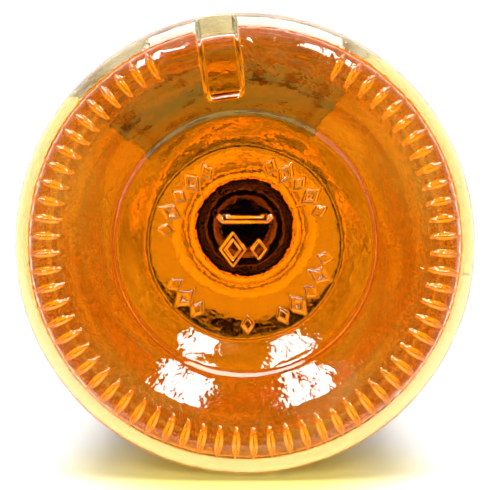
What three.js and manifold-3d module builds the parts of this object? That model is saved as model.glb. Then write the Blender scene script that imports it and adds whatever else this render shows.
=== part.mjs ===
// A sealed 70 cl round spirits bottle: moulded glass with a stepped push-up base,
// its spirit, one paper label, and a screw closure with a non-refillable pourer.
// Millimetres, +Z up through the neck, origin at the centre of the base, label towards -Y.
import * as THREE from 'three';
import { mergeVertices } from 'three/addons/utils/BufferGeometryUtils.js';
import Module from 'manifold-3d';

const wasm = await Module();
wasm.setup();

// Driving dimensions
const bodyRadius = 40;
const wall = 3.5;
const heelRadius = 6;
const shoulderStart = 156.6; // where the straight body ends
const shoulderRadius = 20; // convex arc
const shoulderTurn = 55 * Math.PI / 180; // turned by the convex arc, and back by the concave one
const filletRadius = 8; // concave arc into the neck
const neckRadius = 14;
const brim = 285; // top of the glass
const fillBelowBrim = 72; // 700 ml reaches this far below the brim
const touchGap = 0.3; // between pieces that rest on each other
const bodySegments = 40;
const smallSegments = 28;

// Push-up of the base: [radius, height] of the outer face, then of the inner face
const pushUpOuter = [[0, 6.2], [16.8, 6], [22.3, 4.3], [22.9, 3.6], [28.7, 1.35], [32.4, 0.4], [32.7, 0]];
const pushUpInner = [[0, 12], [17, 11.4], [24, 8.4]];
const innerHeelRadius = 3;
const innerFloor = 5;

// Glass finish under the closure
const finishRadius = 12.4;
const finishStart = 255;
const beadRadius = 13.1;
const beadHeight = 272;
const boreRadius = 9.4;

// Index notch moulded across the heel
const notchAngle = -7.5 * Math.PI / 180; // from -Y towards -X
const notchWidth = 6.7;
const notchDepth = 3.6;
const notchInner = 25.2;

// Label
const labelThickness = 0.2;
const labelGap = 0.05;
const labelBottom = 48;
const labelTop = 128;
const labelHalfAngle = 42 * Math.PI / 180;
const labelTurn = -8 * Math.PI / 180;

// Closure
const capRadius = 15.75;
const shellWall = 0.6;
const capTop = 298;
const breakLine = 278;
const bandBottom = 254.5;
const flangeTop = 287;
const spoutRadius = 11.6;
const spoutTop = 294.3;
const threadPitch = 3;
const threadDepth = 0.9;
const threadStart = 288.7;
const threadTurns = 1.2;
const liftTurns = 1.5; // turns that free the cap
const ballRadius = 4.2;
const seatTop = 267.2;

const colours = {
  glass: [0xdfe8e4, 0.03, 0], spirit: [0xd9780f, 0.02, 0], paper: [0xf1e6c8, 0.75, 0],
  aluminium: [0x2a2320, 0.35, 1], polymer: [0x17130f, 0.45, 0], liner: [0xe4e2da, 0.6, 0],
};
const group = new THREE.Group();

function addPiece(name, geometry, finish) {
  const [color, roughness, metalness] = colours[finish];
  const mesh = new THREE.Mesh(geometry, new THREE.MeshStandardMaterial({ color, roughness, metalness }));
  mesh.name = name;
  group.add(mesh);
}

function arc(cx, cz, radius, from, to, steps) {
  const points = [];
  for (let i = 0; i <= steps; i += 1) {
    const angle = from + (to - from) * i / steps;
    points.push([cx + radius * Math.cos(angle), cz + radius * Math.sin(angle)]);
  }
  return points;
}

// Turns a profile of [radius, height] points about Z, run anticlockwise in the r-z plane
function lathe(profile, segments = smallSegments) {
  const points = profile.map(([r, z]) => new THREE.Vector2(Math.max(r, 0), z));
  return new THREE.LatheGeometry(points, segments).rotateX(Math.PI / 2);
}

function ring(inner, outer, low, high) {
  return lathe([[inner, low], [outer, low], [outer, high], [inner, high], [inner, low]]);
}

function toSolid(geometry) {
  const bare = geometry.clone();
  bare.deleteAttribute('normal');
  bare.deleteAttribute('uv');
  const merged = mergeVertices(bare, 1e-4);
  const vertProperties = new Float32Array(merged.attributes.position.array);
  const triVerts = new Uint32Array(merged.index.array);
  return new wasm.Manifold(new wasm.Mesh({ numProp: 3, vertProperties, triVerts }));
}

function toGeometry(solid) {
  const { vertProperties, triVerts } = solid.getMesh();
  const geometry = new THREE.BufferGeometry();
  geometry.setAttribute('position', new THREE.BufferAttribute(vertProperties, 3));
  geometry.setIndex(new THREE.BufferAttribute(triVerts, 1));
  geometry.computeVertexNormals();
  return geometry;
}

// A right-hand screw ridge between two turns of the thread: a trapezium carried up a helix
function screwRidge(rootRadius, crestRadius, rootHalf, crestHalf, firstTurn, lastTurn) {
  const steps = Math.ceil((lastTurn - firstTurn) * smallSegments);
  const section = [
    [rootRadius, -rootHalf], [crestRadius, -crestHalf], [crestRadius, crestHalf], [rootRadius, rootHalf],
  ];
  const position = [];
  for (let i = 0; i <= steps; i += 1) {
    const turn = firstTurn + (lastTurn - firstTurn) * i / steps;
    const angle = 2 * Math.PI * turn;
    for (const [r, z] of section) {
      position.push(r * Math.cos(angle), r * Math.sin(angle), threadStart + threadPitch * turn + z);
    }
  }
  const index = [0, 1, 2, 0, 2, 3];
  for (let i = 0; i < steps; i += 1) {
    for (let k = 0; k < 4; k += 1) {
      const a = 4 * i + k;
      const b = 4 * i + (k + 1) % 4;
      index.push(a, a + 4, b + 4, a, b + 4, b);
    }
  }
  const end = 4 * steps;
  index.push(end, end + 2, end + 1, end, end + 3, end + 2);
  const geometry = new THREE.BufferGeometry();
  geometry.setAttribute('position', new THREE.Float32BufferAttribute(position, 3));
  geometry.setIndex(index);
  return geometry;
}

// Between the two shoulder arcs a straight cone climbs to the neck
const convexCentre = bodyRadius - shoulderRadius;
const concaveCentre = neckRadius + filletRadius;
const arcSum = shoulderRadius + filletRadius;
const coneRise = (convexCentre - concaveCentre + arcSum * Math.cos(shoulderTurn)) / Math.tan(shoulderTurn);
const neckStart = shoulderStart + arcSum * Math.sin(shoulderTurn) + coneRise;

function shoulder(inset) {
  return [
    ...arc(convexCentre, shoulderStart, shoulderRadius - inset, 0, shoulderTurn, 7),
    ...arc(concaveCentre, neckStart, filletRadius + inset, Math.PI + shoulderTurn, Math.PI, 5),
  ];
}

// Inside of the glass up to the neck, moved in by a gap for the spirit
function innerProfile(gap) {
  const radius = innerHeelRadius - gap;
  const centre = bodyRadius - wall - innerHeelRadius;
  return [
    ...pushUpInner.map(([r, z]) => [r, z + gap]),
    ...arc(centre, innerFloor + innerHeelRadius, radius, -Math.PI / 2, 0, 4),
    ...shoulder(wall + gap),
  ];
}

// Glass: one closed shell, open only at the brim
{
  const outer = [
    ...pushUpOuter,
    ...arc(bodyRadius - heelRadius, heelRadius, heelRadius, -Math.PI / 2, 0, 5),
    ...shoulder(0),
    [neckRadius, finishStart - 3],
    [neckRadius - 0.5, finishStart - 1],
    [finishRadius, finishStart],
    [finishRadius, beadHeight - 1.6],
    [beadRadius, beadHeight - 0.6],
    [beadRadius, beadHeight + 0.6],
    [finishRadius, beadHeight + 1.6],
    [finishRadius, brim - 0.8],
    [finishRadius - 0.8, brim],
  ];
  const inner = [
    [boreRadius + 0.4, brim],
    [boreRadius, brim - 0.4],
    [boreRadius, finishStart + 5],
    [neckRadius - wall, finishStart - 1],
    ...innerProfile(0).reverse(),
  ];
  const shell = toSolid(lathe([...outer, ...inner], bodySegments));
  const notch = new THREE.BoxGeometry(notchWidth, bodyRadius - notchInner + 2, 2 * notchDepth);
  notch.translate(0, -(bodyRadius + 2 + notchInner) / 2, 0).rotateZ(notchAngle);
  addPiece('bottle_glass', toGeometry(shell.subtract(toSolid(notch))), 'glass');
}

// Spirit: fills the glass to the stated level in the neck
{
  const level = brim - fillBelowBrim;
  const profile = [...innerProfile(touchGap), [neckRadius - wall - touchGap, level], [0, level]];
  addPiece('spirit_fill', lathe(profile, bodySegments), 'spirit');
}

// Label: a sheet wrapped on the straight body
{
  const inner = bodyRadius + labelGap;
  const from = -Math.PI / 2 - labelHalfAngle + labelTurn;
  const to = from + 2 * labelHalfAngle;
  const shape = new THREE.Shape();
  shape.absarc(0, 0, inner + labelThickness, from, to, false);
  shape.absarc(0, 0, inner, to, from, true);
  shape.closePath();
  const depth = labelTop - labelBottom;
  const sheet = new THREE.ExtrudeGeometry(shape, { depth, bevelEnabled: false, curveSegments: 12 });
  addPiece('body_label', sheet.translate(0, 0, labelBottom), 'paper');
}

// Aluminium: the shell that turns and the band that stays
const shellInner = capRadius - shellWall;
addPiece('cap_shell', lathe([
  [0, capTop - shellWall], [shellInner, capTop - shellWall], [shellInner, breakLine + touchGap],
  [capRadius, breakLine + touchGap], [capRadius, capTop - 1], [capRadius - 1, capTop], [0, capTop],
]), 'aluminium');
addPiece('tamper_band', ring(shellInner, capRadius, bandBottom, breakLine), 'aluminium');

// Threaded sleeve and sealing wad, carried by the shell
const sleeveRadius = shellInner - touchGap;
const sleeveBore = spoutRadius + 0.35;
{
  const low = flangeTop + touchGap;
  const top = capTop - shellWall - touchGap;
  const ceiling = top - 1;
  const sleeve = toSolid(lathe([
    [0, ceiling], [sleeveBore, ceiling], [sleeveBore, low],
    [sleeveRadius, low], [sleeveRadius, top], [0, top],
  ]));
  const clear = 0.35;
  const groove = screwRidge(sleeveBore - 1, spoutRadius + threadDepth + clear, 1 + clear, 0.5 + clear,
    -liftTurns - 0.1, threadTurns + 0.15);
  addPiece('cap_sleeve', toGeometry(sleeve.subtract(toSolid(groove))), 'polymer');
  addPiece('cap_wad', lathe([[0, spoutTop + touchGap], [spoutRadius - 0.4, spoutTop + touchGap],
    [spoutRadius - 0.4, ceiling - touchGap], [0, ceiling - touchGap]]), 'liner');
}

// Pourer body: skirt over the finish, plug in the bore with the valve seat, threaded spout
const plugRadius = boreRadius - touchGap;
const plugBore = 7.9;
{
  const skirtInner = beadRadius + 0.4;
  const skirtBottom = beadHeight - 10;
  const seatHole = 4.2;
  const body = toSolid(lathe([
    [plugBore, spoutTop], [plugBore, seatTop], [seatHole, seatTop], [seatHole, seatTop - 2],
    [plugRadius, seatTop - 2], [plugRadius, brim + touchGap], [skirtInner, brim + touchGap],
    [skirtInner, skirtBottom], [sleeveRadius, skirtBottom], [sleeveRadius, flangeTop],
    [spoutRadius, flangeTop], [spoutRadius, spoutTop - 0.5], [spoutRadius - 0.5, spoutTop],
    [plugBore, spoutTop],
  ]));
  const ridge = screwRidge(spoutRadius - 1, spoutRadius + threadDepth, 1, 0.5, 0, threadTurns);
  addPiece('pourer_body', toGeometry(body.add(toSolid(ridge))), 'polymer');
}

// Valve with a stem through its seat and a dish for the ball
const dishRim = seatTop + 3.3;
addPiece('pourer_valve', lathe([
  [0, seatTop - 5], [2.6, seatTop - 5], [3.2, seatTop + touchGap], [6.4, seatTop + touchGap],
  [6.4, dishRim], [5.6, dishRim], [1.6, seatTop + 1.5], [0, seatTop + 1.5],
]), 'polymer');
const ballCentre = seatTop + 1.5 + ballRadius + 0.6;
addPiece('pourer_ball', new THREE.SphereGeometry(ballRadius, 20, 10).rotateX(Math.PI / 2)
  .translate(0, 0, ballCentre), 'glass');

// Baffle insert: a tube held in the plug, with a plate on ribs that stops a wire
{
  const tubeRadius = plugBore - touchGap;
  const tubeInner = tubeRadius - 1.2;
  const plateLow = ballCentre + ballRadius + 3.5;
  const plateTop = plateLow + 1.4;
  let insert = toSolid(ring(tubeInner, tubeRadius, plateLow - 3, spoutTop - 0.8));
  insert = insert.add(toSolid(lathe([[0, plateLow], [3.9, plateLow], [3.9, plateTop], [0, plateTop]])));
  for (const turn of [0, Math.PI / 2]) {
    const rib = new THREE.BoxGeometry(2 * tubeInner + 1, 1.2, plateTop - plateLow);
    rib.translate(0, 0, (plateLow + plateTop) / 2).rotateZ(turn);
    insert = insert.add(toSolid(rib));
  }
  addPiece('pourer_baffle', toGeometry(insert), 'polymer');
}

export default group;
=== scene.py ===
import math

import bpy
import numpy as np
from mathutils import Matrix, Vector


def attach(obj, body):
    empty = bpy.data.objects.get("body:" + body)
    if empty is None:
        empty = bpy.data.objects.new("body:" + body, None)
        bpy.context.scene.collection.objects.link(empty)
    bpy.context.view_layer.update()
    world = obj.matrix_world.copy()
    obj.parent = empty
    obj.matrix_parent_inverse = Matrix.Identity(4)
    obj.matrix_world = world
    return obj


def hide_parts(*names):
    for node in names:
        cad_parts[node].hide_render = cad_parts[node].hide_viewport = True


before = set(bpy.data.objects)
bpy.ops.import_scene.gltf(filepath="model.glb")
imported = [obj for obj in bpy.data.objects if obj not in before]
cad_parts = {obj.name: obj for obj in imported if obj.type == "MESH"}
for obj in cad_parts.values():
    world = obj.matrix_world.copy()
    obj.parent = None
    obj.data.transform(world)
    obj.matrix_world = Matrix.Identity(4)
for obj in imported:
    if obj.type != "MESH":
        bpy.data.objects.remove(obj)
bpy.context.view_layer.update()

mm = 0.001
onAxis = 1e-6  # a ring narrower than this, in millimetres, is a pole
glassIor = 1.52  # soda-lime glass
spiritIor = 1.36  # spirit of 40 percent


# sRGB hex to the linear colour that the shaders work in
def hexColour(text):
    parts = np.array([int(text[i:i + 2], 16) for i in (1, 3, 5)]) / 255
    linear = np.where(parts <= 0.04045, parts / 12.92, ((parts + 0.055) / 1.055) ** 2.4)
    return (*linear.tolist(), 1.0)


# adds a node, sets its properties or input values, and links its inputs
def addNode(tree, kind, settings=None, links=None):
    node = tree.nodes.new(kind)
    for name, value in (settings or {}).items():
        if isinstance(name, str) and hasattr(node, name):
            setattr(node, name, value)
        else:
            node.inputs[name].default_value = value
    for name, socket in (links or {}).items():
        tree.links.new(socket, node.inputs[name])
    return node


# a material with an empty tree and its output node
def newMaterial(name):
    material = bpy.data.materials.new(name)
    material.use_nodes = True
    material.node_tree.nodes.clear()
    output = material.node_tree.nodes.new("ShaderNodeOutputMaterial")
    return material, material.node_tree, output


# points on a circle about (cx, cz), from one angle to another in degrees, as rows of [r, z]
def arcRows(cx, cz, radius, start, end, count):
    angle = np.radians(np.linspace(start, end, count))
    return np.stack([cx + radius * np.cos(angle), cz + radius * np.sin(angle)], 1)


# a polyline of [r, z, rounding] whose corners become arcs tangent to both sides, resampled
# so that neighbours lie about one step apart
def roundedRows(corners, step):
    corners = np.array(corners, float)
    rows = [corners[:1, :2]]
    for before, corner, after in zip(corners[:-2], corners[1:-1], corners[2:]):
        a = before[:2] - corner[:2]
        b = after[:2] - corner[:2]
        a, b = a / np.linalg.norm(a), b / np.linalg.norm(b)
        half = math.acos(np.clip(a @ b, -1, 1)) / 2
        if corner[2] <= 0 or half > 1.56:
            rows.append(corner[None, :2])
            continue
        t = np.linspace(0, 1, 9)[:, None]
        start = corner[:2] + a * corner[2] / math.tan(half)
        stop = corner[:2] + b * corner[2] / math.tan(half)
        weight = math.sin(half)  # rational quadratic: an exact arc
        pull = 2 * weight * t * (1 - t)
        bottom = (1 - t) ** 2 + pull + t ** 2
        rows.append(((1 - t) ** 2 * start + pull * corner[:2] + t ** 2 * stop) / bottom)
    rows.append(corners[-1:, :2])
    line = np.concatenate(rows)
    length = np.concatenate([[0], np.cumsum(np.linalg.norm(np.diff(line, axis=0), axis=1))])
    wanted = np.linspace(0, length[-1], max(2, int(math.ceil(length[-1] / step)) + 1))
    return np.stack([np.interp(wanted, length, line[:, k]) for k in (0, 1)], 1)


# faces between two closed rings whose counts divide: every edge of the finer ring meets the
# nearest vertex of the coarser one, and every coarse edge closes one more triangle
def bandFaces(a, countA, b, countB):
    fine, many, coarse, few = a, countA, b, countB
    if countA < countB:
        fine, many, coarse, few = b, countB, a, countA
    i = np.arange(many)
    ratio = many // few
    c = np.floor((i + 0.5) / ratio + 0.5).astype(int) % few
    faces = [np.stack([fine + i, fine + (i + 1) % many, coarse + c], 1)]
    if few > 1:
        last = np.roll(c, 1)
        turn = c != last
        faces.append(np.stack([fine + i, coarse + c, coarse + last], 1)[turn])
    faces = np.concatenate(faces)
    return faces if countA >= countB else faces[:, ::-1]


# one closed skin over a stack of rings, each an array of points; a ring of one point is a pole.
# slots gives the material index of the band that starts at each ring
def skinRings(name, rings, slots=None, loop=False):
    starts = np.concatenate([[0], np.cumsum([len(r) for r in rings])])
    faces, indices = [], []
    pairs = list(zip(range(len(rings) - 1), range(1, len(rings))))
    if loop:
        pairs.append((len(rings) - 1, 0))
    for i, j in pairs:
        band = bandFaces(starts[i], len(rings[i]), starts[j], len(rings[j]))
        faces.append(band)
        indices.append(np.full(len(band), 0 if slots is None else slots[i]))
    return meshFrom(name, np.concatenate(rings) * mm, np.concatenate(faces), np.concatenate(indices))


# triangles to a smooth-shaded mesh object at the origin
def meshFrom(name, points, faces, indices=None):
    mesh = bpy.data.meshes.new(name)
    mesh.vertices.add(len(points))
    mesh.vertices.foreach_set("co", np.asarray(points, np.float32).ravel())
    mesh.loops.add(faces.size)
    mesh.loops.foreach_set("vertex_index", faces.astype(np.int32).ravel())
    mesh.polygons.add(len(faces))
    mesh.polygons.foreach_set("loop_start", np.arange(0, faces.size, 3, dtype=np.int32))
    if indices is not None:
        mesh.polygons.foreach_set("material_index", indices.astype(np.int32))
    mesh.polygons.foreach_set("use_smooth", np.ones(len(faces), bool))
    mesh.update()
    mesh.validate()
    made = bpy.data.objects.new(name, mesh)
    bpy.context.scene.collection.objects.link(made)
    return made


# angles of a ring's points; -Y is turn 0 and the turn runs towards +X
def turns(count):
    return np.arange(count) / count * 2 * np.pi


# points at radius r and height z for each turn
def ringPoints(r, z, turn):
    r, z = np.broadcast_to(r, turn.shape), np.broadcast_to(z, turn.shape)
    return np.stack([r * np.sin(turn), -r * np.cos(turn), z], 1)


# a turned piece from bands of rows: each band is [rows of [r, z], points round, shape], where the
# shape gives how far a point moves outwards for its height and turn; a row on the axis is a pole
def turnedPiece(name, bands, loop=False):
    rings = []
    for rows, count, shape in bands:
        turn = turns(count)
        for r, z in rows:
            if r < onAxis:
                rings.append(np.array([[0, 0, z]]))
                continue
            rings.append(ringPoints(r + (shape(z, turn) if shape else 0), z, turn))
    return skinRings(name, rings, None, loop)


# 0 below low, 1 above high, and a smooth cubic between
def ramp(x, low, high):
    t = np.clip((x - low) / (high - low), 0, 1)
    return t * t * (3 - 2 * t)


# millimetres and degrees, as in the other pieces' dictionaries
bottle = {
    "radius": 40.0, "wall": 3.5, "heelRadius": 6.0,
    "shoulderStart": 156.6, "shoulderRadius": 20.0, "shoulderTurn": 55.0,
    "filletRadius": 8.0, "neckRadius": 14.0,
    "brim": 285.0, "fillBelowBrim": 72.0, "finishRadius": 12.4, "boreRadius": 9.4,
    "pushUp": [[0, 6.2, 0], [16.8, 6.0, 3], [22.3, 4.3, 0.5], [22.9, 3.6, 0.6], [28.7, 1.35, 0.8],
               [32.8, 0.35, 0]],
    "innerFloor": [[0, 12, 0], [17, 11.4, 6], [24, 8.4, 8], [33.5, 5, 0]],
    "innerHeel": 3.0, "ribs": 72, "bearing": 0.35, "ribMiddle": 33.85, "ribHalf": 2.35,
    "ribHalfWidth": 0.68, "plainArc": 27.0,
    "notchTurn": -7.5, "notchWidth": 6.7, "notchInner": 25.2, "notchFloor": 3.6, "notchRound": 1.2,
    "seamTurns": [98.0, 277.0], "seamHeight": 0.12,
    "waviness": 0.11, "crinkle": 0.07, "ripple": 0.03,
    "markHeight": 0.3, "markEdge": 0.16, "markRing": 14.0, "markSize": 0.8, "markLine": 0.3,
    "markArcs": ((280, 332, 5), (18, 66, 5), (100, 152, 5), (178, 178, 1), (216, 240, 3)),
    "bar": (0.0, -4.2, 4.5, 0.42),  # x, y, half width, half height
    "diamond": (-2.1, 1.0, 1.4, 0.36),  # x, y, size, half of its line
    "lozenge": (2.4, 1.0, 1.0),  # x, y, size
    "tint": "#E0E5E1", "tintDensity": 5.0, "pointsRound": 108, "innerPointsRound": 216,
}
print("stage: bottle glass")


# 1 inside an outline and 0 outside it, by the signed distance to it, with a soft edge
def raised(away):
    return 1 - ramp(away, -bottle["markEdge"], bottle["markEdge"])


# a lozenge's distance from its middle: a weighted sum of the ways across and along
def slanted(across, along):
    return np.abs(across) * 0.8 + np.abs(along) * 0.6


# height of the plain raised marks: a ring of solid lozenges and open diamonds by turns, and a bar,
# a diamond and a lozenge in the middle. A diamond is a lozenge's outline
def markHeight(r, turn):
    height = np.zeros_like(r)
    for first, last, count in bottle["markArcs"]:
        for k, degrees in enumerate(np.linspace(first, last, count)):
            across = r * np.sin(turn - math.radians(degrees))
            along = r * np.cos(turn - math.radians(degrees)) - bottle["markRing"]
            away = slanted(across, along) - bottle["markSize"]
            if k % 2:
                away = np.abs(away) - bottle["markLine"]
            height = np.maximum(height, raised(away))
    x, y = r * np.sin(turn), -r * np.cos(turn)
    cx, cy, halfWidth, halfHeight = bottle["bar"]
    height = np.maximum(height, raised(np.maximum(np.abs(x - cx) - halfWidth, np.abs(y - cy) - halfHeight)))
    cx, cy, size, line = bottle["diamond"]
    height = np.maximum(height, raised(np.abs(slanted(x - cx, y - cy) - size) - line))
    cx, cy, size = bottle["lozenge"]
    return np.maximum(height, raised(slanted(x - cx, y - cy) - size))


# outer face under the heel: the profile's height, plus knurls whose crest is a lens in plan,
# up to the index notch's flat floor, less the marks, the crinkles and a ridge at each mould seam.
# The notch is a signed distance to a rounded rectangle that is open at the heel
def baseHeight(r, z, turn):
    fromTop = np.abs((np.degrees(turn) + 180) % 360 - 180)
    pitch = 2 * np.pi / bottle["ribs"]
    across = np.abs((turn / pitch) % 1 - 0.5) * pitch * r
    reach = np.clip((r - bottle["ribMiddle"]) / bottle["ribHalf"], -1, 1)
    width = bottle["ribHalfWidth"] * (1 - reach ** 2) + 1e-6
    rib = np.clip(1 - np.sqrt((across / width) ** 2 + 0.01), 0, 1) * ramp(1 - reach ** 2, 0, 0.12)
    rib = rib * ramp(fromTop, bottle["plainArc"] - 1, bottle["plainArc"] + 1)
    height = z * (1 - rib)
    ripple = np.sin(4 * turn + 0.9 * r) + np.sin(7 * turn - 1.3 * r)
    height += bottle["ripple"] * ramp(r, 17, 20) * (1 - ramp(r, 27, 31)) * ripple
    height -= bottle["markHeight"] * markHeight(r, turn)
    crinkle = np.sin(2.3 * r + 4 * np.sin(13 * turn) + 29 * turn)
    crinkle = crinkle * (0.6 + 0.4 * np.sin(23 * turn + 0.8 * r))
    plain = 1 - ramp(fromTop, bottle["plainArc"] - 3, bottle["plainArc"] + 1)
    height += bottle["crinkle"] * crinkle * plain * ramp(r, 30, 31.5) * (1 - ramp(r, 35, 36.5))
    for seam in bottle["seamTurns"]:
        away = np.abs(r * np.sin((turn - math.radians(seam)) / 2) * 2)
        height -= bottle["seamHeight"] * (1 - ramp(away, 0.1, 0.4)) * ramp(r, 29, 30)
    across = r * np.sin(turn - math.radians(bottle["notchTurn"]))
    along = r * np.cos(turn - math.radians(bottle["notchTurn"]))
    rounding = bottle["notchRound"]
    q = np.stack([np.abs(across) - bottle["notchWidth"] / 2, bottle["notchInner"] - along]) + rounding
    away = np.hypot(*np.maximum(q, 0)) + np.minimum(q.max(0), 0) - rounding
    inside = 1 - ramp(away, -0.6, 0.25)
    height += np.maximum(bottle["notchFloor"] - height, 0) * inside
    return np.maximum(height, 0)


# the shoulder, moved inwards: a convex arc off the body, a straight cone and a concave arc into the neck.
# The cone climbs by the way in that the arcs leave, over the tangent of their turn
def shoulderRows(inset):
    convex = bottle["radius"] - bottle["shoulderRadius"]
    concave = bottle["neckRadius"] + bottle["filletRadius"]
    turn = math.radians(bottle["shoulderTurn"])
    arcs = bottle["shoulderRadius"] + bottle["filletRadius"]
    climb = (convex - concave + arcs * math.cos(turn)) / math.tan(turn)
    start, degrees = bottle["shoulderStart"], bottle["shoulderTurn"]
    neck = start + arcs * math.sin(turn) + climb
    first = arcRows(convex, start, bottle["shoulderRadius"] - inset, 0, degrees, 15)
    last = arcRows(concave, neck, bottle["filletRadius"] + inset, 180 + degrees, 180, 10)
    cone = np.linspace(first[-1], last[0], 5)[1:-1]
    return np.concatenate([first, cone, last])


# inside of the glass up to the neck, moved in by a gap
def innerRows(gap):
    floor = roundedRows(bottle["innerFloor"], 1.1) + [0, gap]
    corner = bottle["innerHeel"]
    middle = bottle["radius"] - bottle["wall"] - corner
    heel = arcRows(middle, bottle["innerFloor"][-1][1] + corner, corner - gap, -90, 0, 14)
    body = np.linspace(heel[-1], [heel[-1][0], bottle["shoulderStart"]], 11)[1:-1]
    return np.concatenate([floor[:-1], heel, body, shoulderRows(bottle["wall"] + gap)])


# slight unevenness of blown glass: a few long waves around and along, in millimetres
def unevenness(r, z, turn):
    waves = np.sin(3 * turn + 0.21 * r + 1.0) + np.sin(5 * turn - 0.33 * r + 0.05 * z)
    return bottle["waviness"] * (waves + 0.7 * np.sin(7 * turn + 0.6 * r))


# the inner face's rings, with the unevenness taken along r on the wall and along z on the floor
def innerRings(gap):
    rings = []
    turn = turns(bottle["innerPointsRound"])
    for r, z in innerRows(gap):
        wave = unevenness(r, z, turn) * ramp(np.array(r), 10, 20)
        onWall = 1.0 if z > 14 and r > 30 else 0.0
        fade = 1 - ramp(np.array(z), 120, 145)
        if r < onAxis:
            rings.append(np.array([[0, 0, z]]))
        else:
            rings.append(ringPoints(r + wave * onWall * fade, z + wave * (1 - onWall) * fade, turn))
    return rings


# rows of the push-up between two radii, a step apart
def pushUpRows(step, low, high):
    return [row for row in roundedRows(bottle["pushUp"], step) if low <= row[0] < high]


# the heel: a quarter turn of an ellipse from the bearing ring to the body
def heelRows():
    low = bottle["radius"] - bottle["heelRadius"]
    rise = bottle["heelRadius"] - bottle["bearing"]
    turn = np.concatenate([np.linspace(0, 22, 8), np.linspace(28, 62, 9), np.linspace(68, 90, 4)])
    turn = np.radians(turn)
    z = bottle["bearing"] + rise * (1 - np.cos(turn))
    return np.stack([low + bottle["heelRadius"] * np.sin(turn), z], 1)


# one closed skin: up the outside from the push-up, over the brim and down the inside. Points round
# are close together where the marks, the knurls and the notch are, in counts that divide
def makeBottle():
    rings = [np.array([[0, 0, bottle["pushUp"][0][1]]])]
    ledge = np.stack([np.linspace(32.9, 33.8, 4), np.full(4, bottle["bearing"])], 1)
    heel = heelRows()
    bands = [
        (pushUpRows(0.25, 0.05, 5.6), 216), (pushUpRows(0.9, 5.6, 12.0), 432),
        (pushUpRows(0.3, 12.0, 16.0), 864), (pushUpRows(0.5, 16.0, 24.8), 432),
        (pushUpRows(0.6, 24.8, 30.9), 864), (pushUpRows(0.9, 31.0, 31.6), 432),
        (pushUpRows(0.24, 31.7, 32.8), 1296), (ledge, 1296),
        (heel[:8], 1296), (heel[8:9], 432), (heel[9:17], 864), (heel[17:], 432),
    ]
    for rows, count in bands:
        turn = turns(count)
        for r, z in rows:
            height = baseHeight(np.full(count, r), np.full(count, z), turn)
            rings.append(ringPoints(r, height, turn))
    turn = turns(bottle["pointsRound"])
    radius, neck, finish = bottle["radius"], bottle["neckRadius"], bottle["finishRadius"]
    bore, brim, inside = bottle["boreRadius"], bottle["brim"], bottle["neckRadius"] - bottle["wall"]
    body = np.linspace([radius, bottle["heelRadius"] + 3], [radius, bottle["shoulderStart"]], 14)[:-1]
    top = roundedRows([
        [neck, 191.5, 0], [neck, 252, 1.5], [finish, 255, 1.0], [finish, 270.4, 0.4],
        [13.1, 271.4, 0.3], [13.1, 272.6, 0.3], [finish, 273.6, 0.4], [finish, brim, 0.9],
        [bore, brim, 0.5], [bore, 260, 2], [inside, 254, 2], [inside, brim - bottle["fillBelowBrim"], 0],
    ], 2.0)
    for r, z in np.concatenate([body, shoulderRows(0), top[1:]]):
        rings.append(ringPoints(r, z, turn))
    dryEnd = len(rings)
    rings += innerRings(0)[::-1]
    slots = [0] * (dryEnd - 1) + [1] * (len(rings) - dryEnd + 1)
    return skinRings("bottle_glass_fine", rings, slots)


def glassMaterial(name, ior):
    # flint soda-lime glass, mould-blown: colourless, its skin chilled by the mould, so a fine orange
    # peel about 1 mm across breaks up what it reflects, and waves about 11 mm long bend what is
    # behind it. The peel is drawn coarser than the real one, to show; the plateau is smoother
    material, tree, output = newMaterial(name)
    place = addNode(tree, "ShaderNodeTexCoord").outputs["Object"]
    peel = addNode(tree, "ShaderNodeTexNoise", {"Scale": 900.0, "Detail": 2.0}, {"Vector": place})
    waves = addNode(tree, "ShaderNodeTexNoise", {"Scale": 90.0, "Detail": 1.0}, {"Vector": place})
    axes = addNode(tree, "ShaderNodeSeparateXYZ", None, {"Vector": place})
    flat = addNode(tree, "ShaderNodeCombineXYZ", None, {"X": axes.outputs["X"], "Y": axes.outputs["Y"]})
    radius = addNode(tree, "ShaderNodeVectorMath", {"operation": "LENGTH"}, {0: flat.outputs["Vector"]})
    slowness = addNode(tree, "ShaderNodeMapRange", {
        "From Min": 0.015, "From Max": 0.02, "To Min": 0.0, "To Max": 0.07,
    }, {"Value": radius.outputs["Value"]})
    strength = addNode(tree, "ShaderNodeMapRange", {
        "From Min": 0.012, "From Max": 0.018, "To Min": 0.025, "To Max": 0.11,
    }, {"Value": radius.outputs["Value"]})
    slow = addNode(tree, "ShaderNodeBump", {"Distance": 0.0006},
                   {"Height": waves.outputs["Fac"], "Strength": slowness.outputs["Result"]})
    bump = addNode(tree, "ShaderNodeBump", {"Distance": 0.0003}, {
        "Height": peel.outputs["Fac"], "Normal": slow.outputs["Normal"],
        "Strength": strength.outputs["Result"]})
    surface = addNode(tree, "ShaderNodeBsdfPrincipled", {
        "Base Color": hexColour("#FFFFFF"), "Roughness": 0.0, "IOR": ior, "Transmission Weight": 1.0,
    }, {"Normal": bump.outputs["Normal"]})
    tint = addNode(tree, "ShaderNodeVolumeAbsorption", {
        "Color": hexColour(bottle["tint"]), "Density": bottle["tintDensity"]})
    tree.links.new(surface.outputs[0], output.inputs["Surface"])
    tree.links.new(tint.outputs[0], output.inputs["Volume"])
    return material


glass = makeBottle()
glass.data.materials.append(glassMaterial("flint glass, mould-blown", glassIor))
glass.data.materials.append(glassMaterial("flint glass, wetted by spirit", glassIor / spiritIor))
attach(glass, "bottle")
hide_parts("bottle_glass")
print("glass triangles", len(glass.data.polygons))


spirit = {
    "gap": 0.03, "density": 44.0, "passes": "#FCE438",
    "creepWidth": 1.5, "creepHeight": 0.7, "dip": 0.9,
}
print("stage: spirit")


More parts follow.
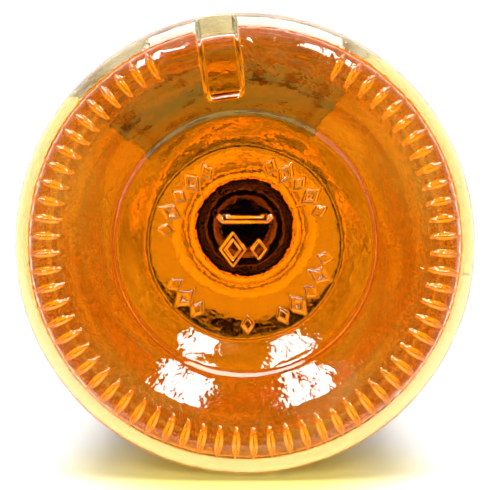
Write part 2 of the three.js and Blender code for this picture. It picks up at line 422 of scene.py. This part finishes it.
def spiritMaterial(name, ior):
    # amber spirit: what it lets through reddens with depth, golden across the body and orange along it
    material, tree, output = newMaterial(name)
    surface = addNode(tree, "ShaderNodeBsdfPrincipled", {
        "Base Color": hexColour("#FFFFFF"), "Roughness": 0.0, "IOR": ior, "Transmission Weight": 1.0})
    inside = addNode(tree, "ShaderNodeVolumeAbsorption", {
        "Color": hexColour(spirit["passes"]), "Density": spirit["density"]})
    tree.links.new(surface.outputs[0], output.inputs["Surface"])
    tree.links.new(inside.outputs[0], output.inputs["Volume"])
    return material


# a closed skin inside the glass, a thin gap off it, whose free surface creeps up the neck's wall
def makeSpirit():
    level = bottle["brim"] - bottle["fillBelowBrim"]
    rings = innerRings(spirit["gap"])
    radius = bottle["neckRadius"] - bottle["wall"] - spirit["gap"]
    turn = turns(bottle["innerPointsRound"])
    rings.append(ringPoints(radius, level, turn))
    top = len(rings) - 1
    rings.append(ringPoints(radius - spirit["creepWidth"], level - spirit["creepHeight"], turn))
    rings.append(np.array([[0, 0, level - spirit["dip"]]]))
    slots = [0] * top + [1] * (len(rings) - top)
    return skinRings("spirit_body", rings, slots)


amber = makeSpirit()
amber.data.materials.append(spiritMaterial("amber spirit against glass", 1.0))
amber.data.materials.append(spiritMaterial("amber spirit, free surface", spiritIor))
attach(amber, "bottle")
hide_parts("spirit_fill")


label = {
    "low": 48.0, "high": 128.0, "half": 42.0, "turn": -8.0,
    "inner": 39.96, "outer": 40.2, "border": 4.0, "pointsRound": 85, "pointsUp": 60,
}
print("stage: label")


# a curved sheet with a face and a back: both are the same grid of turn and height at two radii
def makeLabel():
    count, tall = label["pointsRound"], label["pointsUp"]
    turn = np.radians(np.linspace(-label["half"], label["half"], count) + label["turn"])
    turnGrid, zGrid = np.meshgrid(turn, np.linspace(label["low"], label["high"], tall))
    outer = ringPoints(label["outer"], zGrid.ravel(), turnGrid.ravel())
    inner = ringPoints(label["inner"], zGrid.ravel(), turnGrid.ravel())
    i, j = np.meshgrid(np.arange(count - 1), np.arange(tall - 1))
    a = (j * count + i).ravel()
    quads = np.stack([a, a + 1, a + count + 1, a + count], 1)
    front = np.concatenate([quads[:, [0, 1, 2]], quads[:, [0, 2, 3]]])
    back = front[:, ::-1] + count * tall
    edge = np.concatenate([
        np.arange(count), np.arange(2 * count - 1, count * tall, count),
        np.arange(count * tall - 2, count * (tall - 1) - 1, -1), np.arange(count * (tall - 2), 0, -count)])
    nextEdge = np.roll(edge, -1)
    rim = np.concatenate([np.stack([edge, edge + count * tall, nextEdge + count * tall], 1),
                          np.stack([edge, nextEdge + count * tall, nextEdge], 1)])
    slots = np.repeat([0, 1], [len(front), len(back) + len(rim)])
    points = np.concatenate([outer, inner]) * mm
    return meshFrom("body_label_paper", points, np.concatenate([front, back, rim]), slots)


# distance in metres from the label's nearest edge: the smaller of the way round and the way up
def edgeDistance(tree, place):
    kind = "ShaderNodeMath"
    axes = addNode(tree, "ShaderNodeSeparateXYZ", None, {"Vector": place})
    front = addNode(tree, kind, {"operation": "MULTIPLY", 1: -1.0}, {0: axes.outputs["Y"]})
    turn = addNode(tree, kind, {"operation": "ARCTAN2"}, {0: axes.outputs["X"], 1: front.outputs[0]})
    middle = (label["low"] + label["high"]) / 2 * mm
    ways = []
    for value, centre, half, scale in (
            (turn.outputs[0], math.radians(label["turn"]), math.radians(label["half"]), label["outer"] * mm),
            (axes.outputs["Z"], middle, (label["high"] - label["low"]) / 2 * mm, 1.0)):
        offset = addNode(tree, kind, {"operation": "SUBTRACT", 1: centre}, {0: value})
        away = addNode(tree, kind, {"operation": "ABSOLUTE"}, {0: offset.outputs[0]})
        left = addNode(tree, kind, {"operation": "SUBTRACT", 0: half}, {1: away.outputs[0]})
        way = addNode(tree, kind, {"operation": "MULTIPLY", 1: scale}, {0: left.outputs[0]})
        ways.append(way.outputs[0])
    nearest = addNode(tree, kind, {"operation": "MINIMUM"}, {0: ways[0], 1: ways[1]})
    return nearest.outputs[0]


# 1 within half a width of a value, 0 elsewhere
def lineMask(tree, value, centre, halfWidth):
    offset = addNode(tree, "ShaderNodeMath", {"operation": "SUBTRACT", 1: centre * mm}, {0: value})
    away = addNode(tree, "ShaderNodeMath", {"operation": "ABSOLUTE"}, {0: offset.outputs[0]})
    line = addNode(tree, "ShaderNodeMath", {"operation": "LESS_THAN", 1: halfWidth * mm},
                   {0: away.outputs[0]})
    return line.outputs[0]


def paperFaceMaterial():
    # wet-strength label paper, coated: cream, with a hot-foil gold border. Its fibres are drawn as a
    # mottle about 1 mm across, coarser than the real ones, to show
    material, tree, output = newMaterial("cream label paper, foil-stamped border")
    place = addNode(tree, "ShaderNodeTexCoord").outputs["Object"]
    fibre = addNode(tree, "ShaderNodeTexNoise", {"Scale": 1100.0, "Detail": 4.0}, {"Vector": place})
    tone = addNode(tree, "ShaderNodeValToRGB", None, {"Fac": fibre.outputs["Fac"]})
    tone.color_ramp.elements[0].color = hexColour("#E6D9B8")
    tone.color_ramp.elements[1].color = hexColour("#FBF4E0")
    edge = edgeDistance(tree, place)
    broad = lineMask(tree, edge, label["border"], 0.5)
    fine = lineMask(tree, edge, label["border"] + 1.6, 0.18)
    foil = addNode(tree, "ShaderNodeMath", {"operation": "MAXIMUM"}, {0: broad, 1: fine}).outputs[0]
    ink = addNode(tree, "ShaderNodeMix", {"data_type": "RGBA"}, {"Factor": foil})
    tree.links.new(tone.outputs["Color"], ink.inputs[6])
    ink.inputs[7].default_value = hexColour("#B88A3A")
    sheen = addNode(tree, "ShaderNodeMapRange", {"To Min": 0.7, "To Max": 0.25}, {"Value": foil})
    bump = addNode(tree, "ShaderNodeBump", {"Strength": 0.25, "Distance": 0.00005},
                   {"Height": fibre.outputs["Fac"]})
    sheet = addNode(tree, "ShaderNodeBsdfPrincipled", None, {
        "Base Color": ink.outputs[2], "Metallic": foil, "Roughness": sheen.outputs["Result"],
        "Normal": bump.outputs["Normal"]})
    through = addNode(tree, "ShaderNodeBsdfTranslucent", None, {"Color": ink.outputs[2]})
    mixed = addNode(tree, "ShaderNodeMixShader", {"Fac": 0.7}, {1: sheet.outputs[0], 2: through.outputs[0]})
    tree.links.new(mixed.outputs[0], output.inputs["Surface"])
    return material


def paperBackMaterial():
    # the same paper's glued back: cream where the glue is thin, browner in patches about 8 mm across
    # where it pooled
    material, tree, output = newMaterial("cream label paper, glued back")
    place = addNode(tree, "ShaderNodeTexCoord").outputs["Object"]
    patch = addNode(tree, "ShaderNodeTexNoise", {"Scale": 120.0, "Detail": 3.0, "Roughness": 0.6},
                    {"Vector": place})
    tone = addNode(tree, "ShaderNodeValToRGB", None, {"Fac": patch.outputs["Fac"]})
    tone.color_ramp.elements[0].position = 0.36
    tone.color_ramp.elements[0].color = hexColour("#8A5A28")
    tone.color_ramp.elements[1].position = 0.44
    tone.color_ramp.elements[1].color = hexColour("#FFF6DC")
    sheet = addNode(tree, "ShaderNodeBsdfPrincipled", {"Roughness": 0.8},
                    {"Base Color": tone.outputs["Color"]})
    through = addNode(tree, "ShaderNodeBsdfTranslucent", None, {"Color": tone.outputs["Color"]})
    mixed = addNode(tree, "ShaderNodeMixShader", {"Fac": 0.75}, {1: sheet.outputs[0], 2: through.outputs[0]})
    tree.links.new(mixed.outputs[0], output.inputs["Surface"])
    return material


paper = makeLabel()
paper.data.materials.append(paperFaceMaterial())
paper.data.materials.append(paperBackMaterial())
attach(paper, "bottle")
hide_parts("body_label")

closure = {
    "radius": 15.75, "wall": 0.6, "top": 298.0, "breakLine": 278.0, "bandLow": 254.5, "gap": 0.3,
    "knurls": 90, "knurlDepth": 0.22, "knurlLow": 287.5, "knurlHigh": 295.5, "grooveDepth": 0.32,
    "sleeveRadius": 14.85, "sleeveBore": 11.95, "flangeTop": 287.0, "spoutRadius": 11.6, "spoutTop": 294.3,
    "threadStart": 288.7, "threadPitch": 3.0, "threadDepth": 0.9, "threadTurns": 1.2, "liftTurns": 1.5,
    "plugRadius": 9.1, "plugBore": 7.9, "seatTop": 267.2, "seatHole": 4.2,
    "skirtInner": 13.5, "skirtLow": 262.0, "ballRadius": 4.2, "ballCentre": 273.5,
}
print("stage: closure")


# vertical flutes in a band, deepest between knurls, fading out at the band's ends
def knurl(z, turn):
    fade = min(ramp(np.array(z), closure["knurlLow"], closure["knurlLow"] + 0.6),
               1 - ramp(np.array(z), closure["knurlHigh"] - 0.6, closure["knurlHigh"]))
    return -closure["knurlDepth"] * fade * (0.5 - 0.5 * np.cos(closure["knurls"] * turn))


# how far the screw thread stands out at a height and turn. The helix climbs one pitch a turn from
# the start angle on +X; the section is a trapezium, 1 within the crest and 0 past the root
def screwHeight(z, turn, crestHalf, rootHalf, firstTurn, lastTurn):
    angle = (turn / (2 * np.pi) - 0.25) % 1
    climb = (z - closure["threadStart"]) / closure["threadPitch"] - angle
    whole = np.round(climb)
    away = np.abs(climb - whole) * closure["threadPitch"]
    along = angle + whole
    ends = ramp(along, firstTurn - 0.02, firstTurn + 0.05)
    ends = ends * (1 - ramp(along, lastTurn - 0.05, lastTurn + 0.02))
    return closure["threadDepth"] * ends * (1 - np.clip((away - crestHalf) / (rootHalf - crestHalf), 0, 1))


# the thread on the spout, and the groove for it in the sleeve, longer by the turns that it unscrews
def spoutThread(z, turn):
    return screwHeight(z, turn, 0.5, 1.0, 0.0, closure["threadTurns"])


def sleeveGroove(z, turn):
    return screwHeight(z, turn, 0.85, 1.35, -closure["liftTurns"] - 0.1, closure["threadTurns"] + 0.15)


# rows down an outer wall with rolled grooves: each one's depth is a cosine hollow 1.6 mm tall
def rolledRows(radius, high, low, grooves):
    z = np.arange(high, low, -0.2)
    hollow = sum(0.5 + 0.5 * np.cos(np.pi * np.clip((z - g) / 0.8, -1, 1)) for g in grooves)
    return np.stack([radius - closure["grooveDepth"] * hollow, z], 1)


# the cap's aluminium cup: crown, knurled band, plain skirt, cut lip and inside
def makeShell():
    outer, top, low = closure["radius"], closure["top"], closure["breakLine"] + closure["gap"]
    inner, ceiling = outer - closure["wall"], top - closure["wall"]
    corner = arcRows(outer - 1, top - 1, 1, 90, 0, 8)
    crown = np.concatenate([[[0, top], [6, top], [11, top], [14.2, top]], corner])
    knurled = np.stack([np.full(30, outer), np.linspace(closure["knurlHigh"], closure["knurlLow"], 30)], 1)
    skirt = rolledRows(outer, closure["knurlLow"] - 0.4, low + 0.25, (285.2,))
    lip = np.array([[outer, low + 0.12], [outer - 0.12, low], [inner + 0.12, low], [inner, low + 0.12]])
    inside = np.array([[inner, 288], [inner, top - 1], [inner - 0.4, ceiling], [0, ceiling]])
    return turnedPiece("cap_shell_metal", [
        (crown, 180, None), (knurled, 720, knurl), (skirt, 180, None), (lip, 180, None),
        (inside, 180, None)])


# the band that stays on the neck: an open ring with two rolled grooves and a foot turned in
def makeBand():
    outer, high, low = closure["radius"], closure["breakLine"], closure["bandLow"]
    inner = outer - closure["wall"]
    skirt = rolledRows(outer, high - 0.15, low + 1.2, (275.4, 272.6))
    foot = arcRows(outer - 0.6, low + 0.6, 0.6, 0, -80, 6)
    back = np.array([
        [inner, low + 0.1], [inner, low + 1.2], [inner, 266], [inner, high - 0.12],
        [inner + 0.12, high], [outer - 0.15, high]])
    return turnedPiece("tamper_band_metal", [(np.concatenate([skirt, foot, back]), 180, None)], True)


# the sleeve pressed into the cup, threaded inside
def makeSleeve():
    low = closure["flangeTop"] + closure["gap"]
    top = closure["top"] - closure["wall"] - closure["gap"]
    ceiling, outer, bore = top - 1, closure["sleeveRadius"], closure["sleeveBore"]
    crown = roundedRows([[0, top, 0], [outer, top, 0.3], [outer, low, 0.2], [bore + 0.9, low, 0]], 0.7)
    thread = np.stack([np.full(34, bore), np.linspace(low, ceiling - 0.3, 34)], 1)
    inside = np.array([[bore - 0.3, ceiling], [0, ceiling]])
    return turnedPiece("cap_sleeve_polymer", [
        (crown, 96, None), (thread, 192, sleeveGroove), (inside, 96, None)])


# the fitment: threaded spout outside, skirt over the finish, plug with the valve's seat inside
def makePourer():
    c = closure
    climb = np.linspace(c["spoutTop"] - 0.6, c["flangeTop"] + 0.1, 30)
    spout = np.stack([np.full(30, c["spoutRadius"]), climb], 1)
    skirt = roundedRows([
        [c["spoutRadius"] + 0.1, c["flangeTop"], 0], [c["sleeveRadius"], c["flangeTop"], 0.3],
        [c["sleeveRadius"], c["skirtLow"], 0.4], [c["skirtInner"], c["skirtLow"], 0.4],
        [c["skirtInner"], 285.3, 0.5], [c["plugRadius"], 285.3, 0.4],
        [c["plugRadius"], c["seatTop"] - 2, 0.6],
        [c["seatHole"], c["seatTop"] - 2, 0.4], [c["seatHole"], c["seatTop"], 0.4],
        [c["plugBore"], c["seatTop"], 0.5], [c["plugBore"], c["spoutTop"], 0.3],
        [c["spoutRadius"] - 0.5, c["spoutTop"], 0]], 0.6)
    return turnedPiece("pourer_body_polymer", [(spout, 192, spoutThread), (skirt, 96, None)], True)


# a floating cup on a guide stem that closes the seat
def makeValve():
    seat, gap = closure["seatTop"], closure["gap"]
    rows = roundedRows([
        [0, seat - 5, 0], [2.6, seat - 5, 0.5], [3.2, seat + gap, 0.3], [6.4, seat + gap, 0.4],
        [6.4, seat + 3.3, 0.3], [5.6, seat + 3.3, 0.3], [1.6, seat + 1.5, 0.8], [0, seat + 1.5, 0]], 0.4)
    return turnedPiece("pourer_valve_polymer", [(rows, 72, None)])


# a half circle turned round the axis
def makeBall():
    rows = arcRows(0, closure["ballCentre"], closure["ballRadius"], -90, 90, 41)
    rows[[0, -1], 0] = 0
    return turnedPiece("pourer_ball_glass", [(rows, 72, None)])


def lacquerMaterial():
    # aluminium drawn into a cup, lacquered near-black: metallic base, clear gloss coat, drawing lines
    # round the wall every 0.2 mm or so, and scuffs about 4 mm across that dull it
    material, tree, output = newMaterial("black lacquered aluminium")
    place = addNode(tree, "ShaderNodeTexCoord").outputs["Object"]
    stretched = addNode(tree, "ShaderNodeMapping", {"Scale": (60.0, 60.0, 6000.0)}, {"Vector": place})
    drawn = addNode(tree, "ShaderNodeTexNoise", {"Scale": 1.0, "Detail": 3.0},
                    {"Vector": stretched.outputs["Vector"]})
    scuffs = addNode(tree, "ShaderNodeTexNoise", {"Scale": 260.0, "Detail": 5.0, "Roughness": 0.7},
                     {"Vector": place})
    dull = addNode(tree, "ShaderNodeMapRange", {
        "From Min": 0.35, "From Max": 0.75, "To Min": 0.22, "To Max": 0.5,
    }, {"Value": scuffs.outputs["Fac"]})
    bump = addNode(tree, "ShaderNodeBump", {"Strength": 0.2, "Distance": 0.00003},
                   {"Height": drawn.outputs["Fac"]})
    surface = addNode(tree, "ShaderNodeBsdfPrincipled", {
        "Base Color": hexColour("#2B211D"), "Metallic": 0.85, "Coat Weight": 0.6, "Coat Roughness": 0.08,
    }, {"Roughness": dull.outputs["Result"], "Normal": bump.outputs["Normal"]})
    tree.links.new(surface.outputs[0], output.inputs["Surface"])
    return material


def polymerMaterial():
    # injection-moulded polythene, black: a soft satin with a faint grain, 0.4 mm across, and flow
    # marks about 8 mm long in its sheen
    material, tree, output = newMaterial("black polythene, moulded")
    place = addNode(tree, "ShaderNodeTexCoord").outputs["Object"]
    grain = addNode(tree, "ShaderNodeTexNoise", {"Scale": 2600.0, "Detail": 2.0}, {"Vector": place})
    flow = addNode(tree, "ShaderNodeTexNoise", {"Scale": 130.0, "Detail": 2.0}, {"Vector": place})
    satin = addNode(tree, "ShaderNodeMapRange", {"To Min": 0.38, "To Max": 0.56},
                    {"Value": flow.outputs["Fac"]})
    bump = addNode(tree, "ShaderNodeBump", {"Strength": 0.15, "Distance": 0.00003},
                   {"Height": grain.outputs["Fac"]})
    surface = addNode(tree, "ShaderNodeBsdfPrincipled", {"Base Color": hexColour("#17120F")}, {
        "Roughness": satin.outputs["Result"], "Normal": bump.outputs["Normal"]})
    tree.links.new(surface.outputs[0], output.inputs["Surface"])
    return material


def linerMaterial():
    # foamed polythene wad, off-white: closed cells half a millimetre across dimple its face
    material, tree, output = newMaterial("foamed polythene liner")
    place = addNode(tree, "ShaderNodeTexCoord").outputs["Object"]
    cells = addNode(tree, "ShaderNodeTexVoronoi", {"Scale": 2000.0}, {"Vector": place})
    tone = addNode(tree, "ShaderNodeValToRGB", None, {"Fac": cells.outputs["Distance"]})
    tone.color_ramp.elements[0].color = hexColour("#D9D5C8")
    tone.color_ramp.elements[1].color = hexColour("#F1EEE4")
    bump = addNode(tree, "ShaderNodeBump", {"Strength": 0.4, "Distance": 0.00008},
                   {"Height": cells.outputs["Distance"]})
    surface = addNode(tree, "ShaderNodeBsdfPrincipled", {"Roughness": 0.65}, {
        "Base Color": tone.outputs["Color"], "Normal": bump.outputs["Normal"]})
    tree.links.new(surface.outputs[0], output.inputs["Surface"])
    return material


# a closure piece with its finish, the body that carries it, and the node it stands for, which it hides
def dress(piece, material, body, node):
    piece.data.materials.append(material)
    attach(piece, body)
    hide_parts(node)


lacquer = lacquerMaterial()
polymer = polymerMaterial()
dress(makeShell(), lacquer, "cap", "cap_shell")
dress(makeBand(), lacquer, "bottle", "tamper_band")
dress(makeSleeve(), polymer, "cap", "cap_sleeve")
dress(makePourer(), polymer, "bottle", "pourer_body")
dress(makeValve(), polymer, "valve", "pourer_valve")
dress(makeBall(), glassMaterial("pressed glass ball", glassIor), "ball", "pourer_ball")
for node, material in (("pourer_baffle", polymer), ("cap_wad", linerMaterial())):
    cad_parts[node].data.materials.clear()
    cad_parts[node].data.materials.append(material)


# metres and degrees; lights and sky in watts per square metre and steradian
studio = {
    "distance": 0.22, "tilt": 2.0, "lens": 95.7, "lampDistance": 1.5,
    "dark": 0.015, "wall": 0.8, "sky": 2.9,
    "strip": 36.0, "stripTurns": (-30, -20, 20, 30), "stripRise": 32, "stripSize": (0.1, 0.4),
    "softbox": 12.0, "softboxRise": 84, "softboxSize": (1.5, 1.2),
    "lie": 0.0405, "edge": -0.025, "tableTop": 0.2, "tableHalf": 0.4,
    "sink": -0.0004, "floorHalf": 1.5, "floorHole": 0.08,
}
print("stage: light and camera")


# a plane of rectangles; its back lets everything through
def stagePlane(name, rectangles, material):
    first = 4 * np.arange(len(rectangles))[:, None, None]
    faces = (np.array([[[0, 1, 2], [0, 2, 3]]]) + first).reshape(-1, 3)
    made = meshFrom(name, np.array(rectangles, float).reshape(-1, 3), faces)
    made.data.materials.append(material)
    return made


def laminateMaterial(name, paintedGlow, darker, paler):
    # laminate, matt, pale, with a barely visible mottle 70 mm across. By the bottle's foot a pool of yellow
    # light is painted into its colour, by the distance from a point: a painted glow standing for the light
    # that falls through the spirit
    material, tree, output = newMaterial(name)
    side = addNode(tree, "ShaderNodeNewGeometry")
    mottle = addNode(tree, "ShaderNodeTexNoise", {"Scale": 14.0, "Detail": 2.0},
                     {"Vector": side.outputs["Position"]})
    tone = addNode(tree, "ShaderNodeValToRGB", None, {"Fac": mottle.outputs["Fac"]})
    tone.color_ramp.elements[0].color = hexColour(darker)
    tone.color_ramp.elements[1].color = hexColour(paler)
    # painted glow: near a point by the bottle's foot the colour turns to pale yellow #DCCB6E, a painted pool
    # of the light that falls through the spirit
    squashed = addNode(tree, "ShaderNodeMapping", {
        "Scale": (0.6, 0.0, 0.6), "Location": (0.0, 0.0, -0.006),
    }, {"Vector": side.outputs["Position"]})
    away = addNode(tree, "ShaderNodeVectorMath", {"operation": "LENGTH"}, {0: squashed.outputs["Vector"]})
    near = addNode(tree, "ShaderNodeMapRange", {
        "interpolation_type": "SMOOTHSTEP", "From Min": 0.008, "From Max": 0.026,
        "To Min": paintedGlow, "To Max": 0.0,
    }, {"Value": away.outputs["Value"]})
    toneWithPaintedGlow = addNode(tree, "ShaderNodeMix", {"data_type": "RGBA"}, {"Factor": near.outputs["Result"]})
    tree.links.new(tone.outputs["Color"], toneWithPaintedGlow.inputs[6])
    toneWithPaintedGlow.inputs[7].default_value = hexColour("#DCCB6E")
    top = addNode(tree, "ShaderNodeBsdfPrincipled", {"Roughness": 0.6}, {"Base Color": toneWithPaintedGlow.outputs[2]})
    clear = addNode(tree, "ShaderNodeBsdfTransparent")
    mixed = addNode(tree, "ShaderNodeMixShader", None,
                    {0: side.outputs["Backfacing"], 1: top.outputs[0], 2: clear.outputs[0]})
    tree.links.new(mixed.outputs[0], output.inputs["Surface"])
    return material


# the table that the bottle lies on, just off its side, with the painted glow of yellow light at full
# strength by the foot
lie, edge, end, half = studio["lie"], studio["edge"], studio["tableTop"], studio["tableHalf"]
stagePlane("table", [[[-half, lie, edge], [half, lie, edge], [half, lie, end], [-half, lie, end]]],
           laminateMaterial("table laminate with painted glow", 1.0, "#CAC9C7", "#D0D0CE"))

# the floor is seen only directly, and a frame of it, clear of the foot, lights what the glass bends
sink, far, near = studio["sink"], studio["floorHalf"], studio["floorHole"]
floorLaminate = laminateMaterial("floor laminate", 0.0, "#8E8D8B", "#949392")
square = [[-far, -far, sink], [far, -far, sink], [far, far, sink], [-far, far, sink]]
ground = stagePlane("floor", [square], floorLaminate)
frameQuads = []
for turn in range(4):
    c, s = math.cos(turn * math.pi / 2), math.sin(turn * math.pi / 2)
    corners = ((near, -near), (far, -far), (far, far), (near, near))
    frameQuads.append([[c * x - s * y, s * x + c * y, sink] for x, y in corners])
surround = stagePlane("floor_surround", frameQuads, floorLaminate)
for ray in ("visible_diffuse", "visible_glossy", "visible_shadow"):
    setattr(ground, ray, False)
    setattr(surround, ray, False)
ground.visible_transmission = False
surround.visible_camera = False


# a rectangular lamp aimed at the origin, by azimuth round the axis from -Y and elevation from -Z
def addLamp(name, azimuth, elevation, size, radiance):
    a, e = math.radians(azimuth), math.radians(elevation)
    direction = Vector((math.sin(a) * math.sin(e), -math.cos(a) * math.sin(e), -math.cos(e)))
    lamp = bpy.data.lights.new(name, "AREA")
    lamp.shape = "RECTANGLE"
    lamp.size, lamp.size_y = size
    lamp.energy = radiance * size[0] * size[1] * math.pi
    made = bpy.data.objects.new(name, lamp)
    bpy.context.scene.collection.objects.link(made)
    turned = direction.to_track_quat("Z", "Y").to_matrix().to_4x4()
    made.matrix_world = Matrix.Translation(direction * studio["lampDistance"]) @ turned
    made.visible_camera = False


for azimuth in studio["stripTurns"]:
    addLamp("window_strip", azimuth, studio["stripRise"], studio["stripSize"], studio["strip"])
addLamp("softbox", 0, studio["softboxRise"], studio["softboxSize"], studio["softbox"])


# by the direction's z: dark below, a pale wall all round, and a brighter sky
def makeWorld():
    world = bpy.data.worlds.new("pale studio")
    bpy.context.scene.world = world
    world.use_nodes = True
    tree = world.node_tree
    tree.nodes.clear()
    toward = addNode(tree, "ShaderNodeTexCoord")
    axes = addNode(tree, "ShaderNodeSeparateXYZ", None, {"Vector": toward.outputs["Generated"]})
    wall = addNode(tree, "ShaderNodeMapRange", {
        "interpolation_type": "SMOOTHSTEP", "From Min": -0.4, "From Max": 0.1,
        "To Min": studio["dark"], "To Max": studio["wall"],
    }, {"Value": axes.outputs["Z"]})
    level = addNode(tree, "ShaderNodeMapRange", {
        "interpolation_type": "SMOOTHSTEP", "From Min": 0.1, "From Max": 0.6, "To Max": studio["sky"],
    }, {"Value": axes.outputs["Z"], "To Min": wall.outputs["Result"]})
    sky = addNode(tree, "ShaderNodeBackground", {"Color": hexColour("#FFFFFF")},
                  {"Strength": level.outputs["Result"]})
    output = tree.nodes.new("ShaderNodeOutputWorld")
    tree.links.new(sky.outputs[0], output.inputs["Surface"])


# a long lens under the base, tilted a little off the axis towards the table
def makeCamera():
    camera = bpy.data.cameras.new("camera")
    camera.lens = studio["lens"]
    camera.sensor_width = 36
    camera.clip_start = 0.01
    made = bpy.data.objects.new("camera", camera)
    bpy.context.scene.collection.objects.link(made)
    tilt = math.radians(studio["tilt"])
    spot = Vector((0, -math.sin(tilt), -math.cos(tilt))) * studio["distance"]
    forward = -spot.normalized()
    right = Vector((1, 0, 0))
    facing = Matrix((right, right.cross(forward), -forward)).transposed().to_4x4()
    made.matrix_world = Matrix.Translation(spot) @ facing
    bpy.context.scene.camera = made


makeWorld()
makeCamera()
scene = bpy.context.scene
scene.view_settings.view_transform = "Standard"
scene.cycles.max_bounces = 48
scene.cycles.transmission_bounces = 48
scene.cycles.glossy_bounces = 32
scene.cycles.transparent_max_bounces = 64
